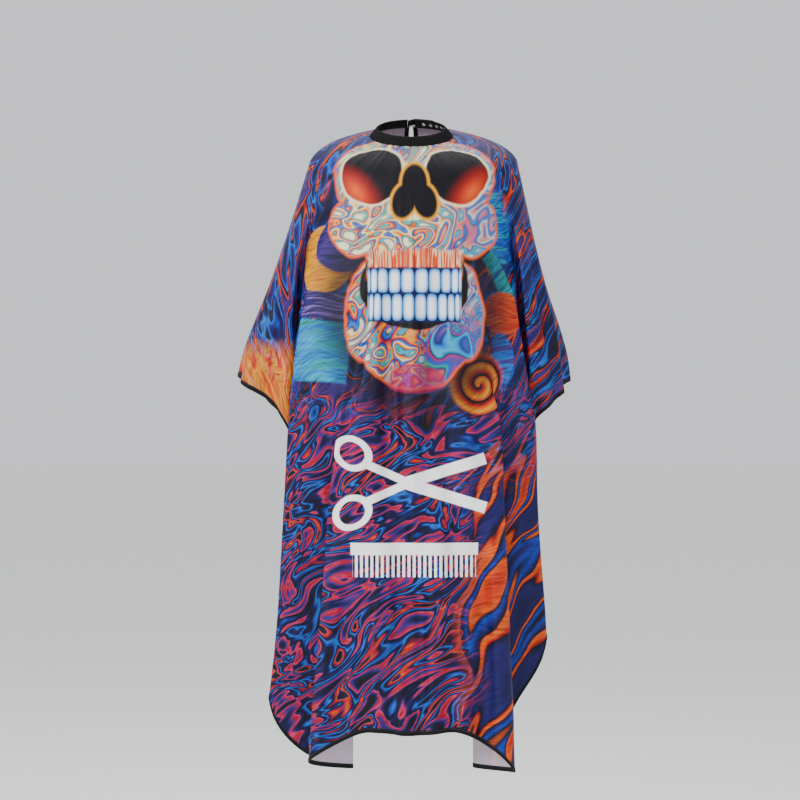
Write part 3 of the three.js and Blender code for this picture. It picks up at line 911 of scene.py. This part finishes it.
def printPaint(tree):  # the colours printed on the cloth, from its place on the flat cut
    place = node(tree, "Attribute", out=1, attribute_type="GEOMETRY", attribute_name="print")
    across, up, sleeve = [node(tree, "SeparateXYZ", [place], out=i) for i in range(3)]
    at = node(tree, "CombineXYZ", [across, up])
    wander = node(tree, "TexNoise", {"Vector": at, "Scale": bending["scale"], "Detail": 1.2}, out=1)
    far = bending["far"]
    bent = node(tree, "VectorMath", [wander, (far, far, 0), at], operation="MULTIPLY_ADD")
    onSleeve = node(tree, "Math", [sleeve], operation="ABSOLUTE")

    layers = []
    evened = node(tree, "VectorMath", [bent, (far / 2, far / 2, 0)], operation="SUBTRACT")
    ragged = node(tree, "MixRGB", [bending["patches"], at, evened])
    for shape, spot, tints in patches:
        stops = [(i / 3, tint) for i, tint in enumerate(tints)]
        lean = spot[4] + patchStrokes["lean"]
        streaks = strokes(tree, bent, patchStrokes["size"], lean, stops, patchStrokes["twist"])
        layers.append((streaks, combined(tree, "SUBTRACT", within(tree, ragged, shape, spot), onSleeve)))
    curl = within(tree, at, "round", spiral["place"], spiral["edge"])
    layers.append((spiralPaint(tree, at), combined(tree, "SUBTRACT", curl, onSleeve)))
    ground = painted(tree, groundPaint(tree, bent, up, sleeve, onSleeve), *layers)

    swept = [bent, (0, 0, 0), (0, 0, brush["turn"]), (*brush["hair"], 1)]
    near = node(tree, "Mapping", swept, vector_type="TEXTURE")
    hair = node(tree, "TexNoise", {"Vector": near, "Scale": 1.0, "Detail": 3.0, "Distortion": 0.8})
    shade = node(tree, "ValToRGB", [hair], stops=brush["stops"])
    ground = node(tree, "MixRGB", [brush["strength"], ground, shade], blend_type="MULTIPLY")
    return painted(tree, skullPaint(tree, ground, at), ("white", emblemMask(tree, at))), at


def noiseScale(mm):  # for marks that many mm apart
    return 1000 / mm


def bandScale(mm):  # the same for the wave texture, which draws a band every 2 pi / 20 of its scale
    return 1000 / mm * 2 * math.pi / 20


# Plain weave. The real threads are about 0.15 mm apart, too fine to show, so they are drawn at 1.7 mm.
yarn = {"apart": 1.7453, "depth": 0.0003, "crumple": 29.41, "crumpleDepth": 9.0}


def weave(tree, at):
    threads = {"Vector": at, "Scale": bandScale(yarn["apart"]), "Distortion": 0.4}
    ways = [node(tree, "TexWave", threads, wave_profile="SIN", bands_direction=way) for way in ("X", "Y")]
    grain = node(tree, "Math", ways, operation="ADD")
    creased = {"Vector": at, "Scale": noiseScale(yarn["crumple"]), "Detail": 3.0, "Distortion": 0.6}
    crumple = node(tree, "TexNoise", creased)
    height = node(tree, "Math", [crumple, yarn["crumpleDepth"], grain], operation="MULTIPLY_ADD")
    return node(tree, "Bump", {"Strength": 0.35, "Distance": yarn["depth"], "Height": height})


# Woven polyester, sublimation printed: bright flat colours with a soft satin sheen.
satin = {
    "Roughness": 0.5,
    "IOR": 1.5,
    "Specular IOR Level": 0.2,
    "Sheen Weight": 0.02,
    "Sheen Roughness": 0.4,
}
printedPolyester, tree, shader = newMaterial("printedPolyester", satin)
paint, at = printPaint(tree)
tree.links.new(paint, shader.inputs["Base Color"])
tree.links.new(weave(tree, at), shader.inputs["Normal"])

# The same cloth's reverse: the ink shows through faintly on white yarn.
reverse = {"tint": "#cdbfca", "cover": 0.72}
polyesterReverse, tree, shader = newMaterial("polyesterReverse", {**satin, "Roughness": 0.6})
paint, at = printPaint(tree)
tree.links.new(painted(tree, paint, (reverse["tint"], reverse["cover"])), shader.inputs["Base Color"])
tree.links.new(weave(tree, at), shader.inputs["Normal"])

sewing = {
    "stitch": 0.003,
    "gap": (0.10, 0.16),  # shares of a stitch
    "thread": (0.0006, 0.0003),  # metres from its middle to where it ends, and to where it starts to
    "tint": "#3c3c42",
    "raised": 4.0,
}


def tapeMaterial(name, tint, apart, seam):  # ribs that many mm apart; seam is its height on the tape, or None
    matt = {"Roughness": 0.8, "Sheen Weight": 0.05, "Specular IOR Level": 0.2}
    made, tree, shader = newMaterial(name, matt)
    at = node(tree, "Attribute", out=1, attribute_type="GEOMETRY", attribute_name="tape")
    along, up = [node(tree, "SeparateXYZ", [at], out=i) for i in range(2)]
    ribbed = {"Vector": at, "Scale": bandScale(apart), "Distortion": 0.6}
    height = node(tree, "TexWave", ribbed, wave_profile="SIN", bands_direction="X")
    # the rib crests are painted lighter than the hollows between them: a painted highlight along each rib
    tone = painted(tree, tint, ("#1c1c20", combined(tree, "MULTIPLY", height, 0.3)))
    if seam is not None:
        count = node(tree, "Math", [along, sewing["stitch"]], operation="DIVIDE")
        beat = node(tree, "Math", [count, 0.5], operation="PINGPONG")
        dash = node(tree, "MapRange", [beat, *sewing["gap"]])
        off = node(tree, "Math", [up, seam], operation="SUBTRACT")
        near = node(tree, "Math", [off], operation="ABSOLUTE")
        thread = combined(tree, "MULTIPLY", dash, node(tree, "MapRange", [near, *sewing["thread"]]))
        tone = painted(tree, tone, (sewing["tint"], thread))
        height = node(tree, "Math", [thread, sewing["raised"], height], operation="MULTIPLY_ADD")
    tree.links.new(tone, shader.inputs["Base Color"])
    relief = node(tree, "Bump", {"Strength": 0.6, "Distance": 0.0002, "Height": height})
    tree.links.new(relief, shader.inputs["Normal"])
    return made


blackGrosgrain = tapeMaterial("blackGrosgrain", "#050506", 0.982, 0.0068)  # matt black folded tape
ribbedElastic = tapeMaterial("ribbedElastic", "#050506", 0.748, None)  # dull black covered rubber
tabGrosgrain = tapeMaterial("tabGrosgrain", "#050506", 0.982, 0.0015)  # the tape again, stitched all round


def yarnMaterial(name, tint, roughness, apart):  # hidden woven or felted filling, tufts that many mm apart
    made, tree, shader = newMaterial(name, {"Roughness": roughness, "Sheen Weight": 0.2})
    at = node(tree, "TexCoord", out=3)
    grain = node(tree, "TexNoise", {"Vector": at, "Scale": noiseScale(apart), "Detail": 3.0})
    tone = painted(tree, tint, ("#9c988e", combined(tree, "MULTIPLY", grain, 0.35)))
    tree.links.new(tone, shader.inputs["Base Color"])
    relief = node(tree, "Bump", {"Strength": 0.5, "Distance": 0.0002, "Height": grain})
    tree.links.new(relief, shader.inputs["Normal"])
    return made


wovenElastic = yarnMaterial("wovenElastic", "#dcd8ce", 0.8, 1.11)  # white knitted rubber tape
stiffInterlining = yarnMaterial("stiffInterlining", "#d2cec2", 0.9, 0.667)  # felted stiffener

# Nickel-plated pressed steel: bright and slightly yellow, with fine handling marks.
nickelSteel, tree, shader = newMaterial("nickelSteel", {"Metallic": 1.0})
at = node(tree, "TexCoord", out=3)
wear = node(tree, "TexNoise", {"Vector": at, "Scale": noiseScale(1.43), "Detail": 4.0})
tree.links.new(painted(tree, "#c9c6bf", ("#aaa69e", wear)), shader.inputs["Base Color"])
tree.links.new(node(tree, "MapRange", [wear, 0.3, 0.7, 0.18, 0.34]), shader.inputs["Roughness"])

# Thickness and materials
for obj in cloths.values():
    obj.data.materials.append(printedPolyester)
    obj.data.materials.append(polyesterReverse)
    solid = obj.modifiers.new("thickness", "SOLIDIFY")
    solid.thickness, solid.offset, solid.material_offset = cloth["thickness"], -1, 1
for obj in bindings.values():
    obj.data.materials.append(blackGrosgrain)
neckband.data.materials.append(ribbedElastic)
closingTab.data.materials.append(tabGrosgrain)
for obj in [*studs.values(), *sockets.values()]:
    obj.data.materials.append(nickelSteel)
for name, made in (("neckband_elastic", wovenElastic), ("tab_interlining", stiffInterlining)):
    frame["nodes"][name].data.materials.clear()
    frame["nodes"][name].data.materials.append(made)
print("materials made")

# What the cape's pieces ride on, and the frame's parts that each piece stands for; the back pieces stay where
# they are
bend = {"aside": 0.07, "behind": 0.1, "from": -0.02, "to": -0.10}  # a line behind the back on each side: metres aside and behind, and the heights that it runs from and to
stretches = [f"{side}_{place}" for side in ("left", "right") for place in ("front", "side", "rear")]
panels = ["centre_front", *stretches]
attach(cloths["capeCloth"], "cape")
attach(bindings["hemBinding"], "cape")
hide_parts(*panels)
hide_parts(*[f"{panel}_binding" for panel in panels])
for side, x in (("left", -bend["aside"]), ("right", bend["aside"])):
    yoke, flap = f"{side}_back_yoke", f"{side}_back_flap"
    pieces = {
        cloths[f"{side}BackCloth"]: [yoke, flap],
        bindings[f"{side}BackBinding"]: [f"{yoke}_edge", f"{flap}_edge", f"{flap}_binding"],
    }
    start, end = (x, bend["behind"], bend["from"]), (x, bend["behind"], bend["to"])
    for piece, nodes in pieces.items():
        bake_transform(piece)
        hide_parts(*nodes)
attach(neckband, "cape")
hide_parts("neckband_casing")
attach(closingTab, "closure_tab")
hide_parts("tab_casing")
for body, made in (("cape", studs), ("closure_tab", sockets)):
    for name, obj in made.items():
        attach(obj, body)
        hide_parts(name)

print("pieces placed, the parts they stand for hidden")

# Studio: a pale floor, and soft light from all sides
studio = {
    "floor": -1.62,
    "reach": 40,
    "tint": "#fdfdfc",
    "sky": "#f4f6fa",
    "air": 0.95,
    "aim": (0, 0, -0.6),
    "lamps": {  # place, size in metres, watts
        "key": ((-3.2, -2.8, 1.6), 1.8, 190),
        "fill": ((2.8, -3.2, 0.6), 2.8, 45),
        "wash": ((0, 1.0, 2.6), 2.0, 60),
    },
}
bm = bmesh.new()
bmesh.ops.create_grid(bm, x_segments=1, y_segments=1, size=studio["reach"])
floor = meshObject("floor", bm)
floor.location.z = studio["floor"]
matPaint, tree, shader = newMaterial("matPaint", {"Base Color": linear(studio["tint"]), "Roughness": 0.9})
floor.data.materials.append(matPaint)  # matt, so that it shows no reflection

world = bpy.data.worlds.new("studio")
world.use_nodes = True
bpy.context.scene.world = world
air = world.node_tree.nodes["Background"]
air.inputs["Color"].default_value = linear(studio["sky"])
air.inputs["Strength"].default_value = studio["air"]

for name, (place, size, watts) in studio["lamps"].items():
    lamp = bpy.data.objects.new(name, bpy.data.lights.new(name, "AREA"))
    lamp.data.size, lamp.data.energy = size, watts
    lamp.location = place
    lamp.rotation_euler = (Vector(studio["aim"]) - Vector(place)).to_track_quat("-Z", "Y").to_euler()
    bpy.context.scene.collection.objects.link(lamp)

view = {
    "place": (-0.023, -6.0, -0.546),
    "clothFront": -0.12,
    "wide": 1.6,  # metres across the picture at the cloth's front
    "sensor": 36,
    "farthest": 50,
}
camera = bpy.data.objects.new("camera", bpy.data.cameras.new("camera"))
bpy.context.scene.collection.objects.link(camera)
camera.location = view["place"]
camera.rotation_euler = (math.pi / 2, 0, 0)
camera.data.sensor_width = view["sensor"]
camera.data.lens = view["sensor"] * (view["clothFront"] - view["place"][1]) / view["wide"]
camera.data.clip_end = view["farthest"]
bpy.context.scene.camera = camera

print("studio lit")
